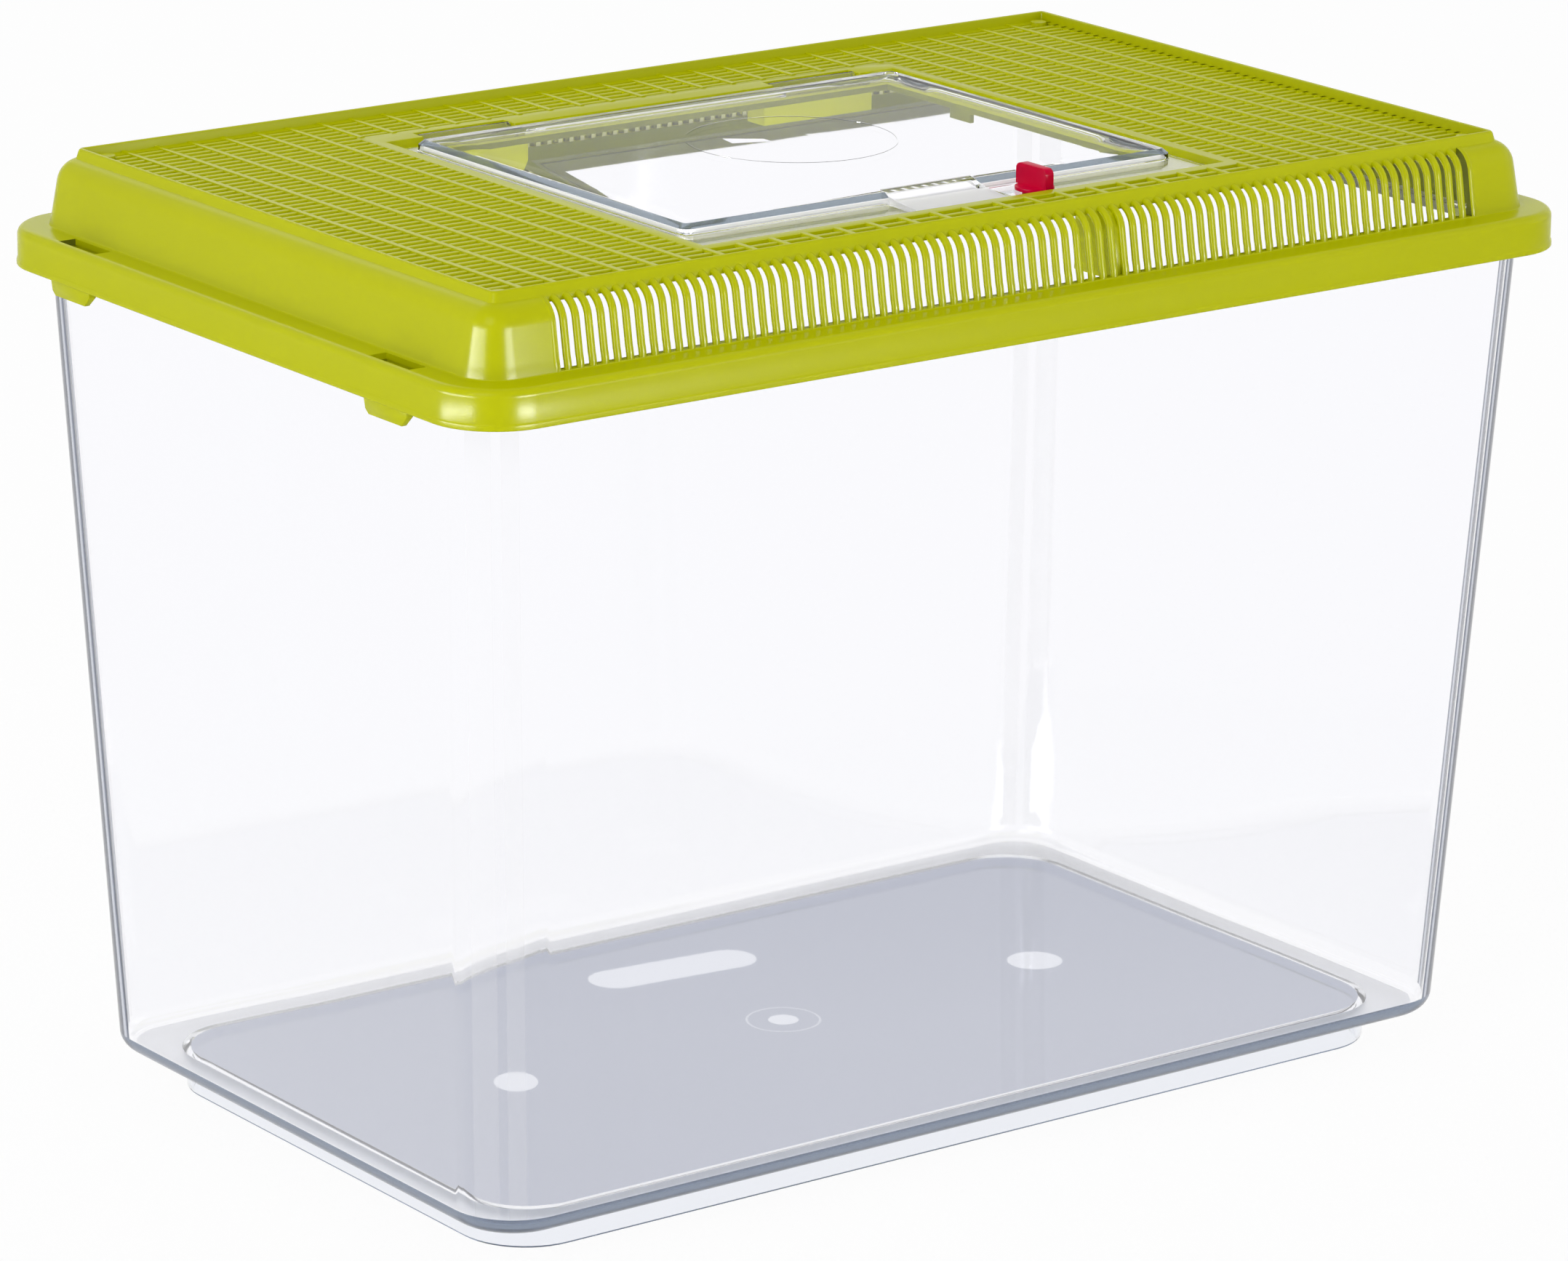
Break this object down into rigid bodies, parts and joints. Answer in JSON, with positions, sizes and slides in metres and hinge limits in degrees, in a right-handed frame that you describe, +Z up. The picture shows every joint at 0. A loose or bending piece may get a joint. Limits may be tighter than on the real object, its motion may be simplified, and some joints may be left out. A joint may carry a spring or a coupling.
{
  "type": "pet keeper",
  "caption": "Clear tapered plastic pet keeper with a lime green slatted lid that snaps over the rim, a clear hinged feeding hatch and a red thumb-turn latch",
  "frame": {"origin": "middle of the bounding box at table level", "axes": "+X along the length to the right, +Y from the front (latch side) to the back (hinge side), +Z up"},
  "size_m": [0.413, 0.2628, 0.3006],
  "materials": {
    "clear_tank": "clear crystal polystyrene, polished",
    "lime_plastic": "moulded lime green plastic, satin gloss",
    "clear_hatch": "clear moulded plastic, polished",
    "red_plastic": "moulded crimson plastic, gloss"
  },
  "bodies": {
    "tank": {"tank": "clear_tank"},
    "lid": {"lid": "lime_plastic"},
    "hatch": {"hatch": "clear_hatch"},
    "latch": {"latch": "red_plastic"}
  },
  "joints": [
    {"name": "lid_lift", "type": "slide", "parent": "tank", "child": "lid", "axis": [0, 0, 1], "range_m": [0, 0.06]},
    {"name": "hatch_hinge", "type": "hinge", "parent": "lid", "child": "hatch", "pos_m": [0, 0.0798, 0.2925], "axis": [-1, 0, 0], "range_deg": [0, 100]},
    {"name": "latch_turn", "type": "hinge", "parent": "hatch", "child": "latch", "pos_m": [0.031, -0.0805, 0.2925], "axis": [0, 0, 1], "range_deg": [0, 90]}
  ]
}
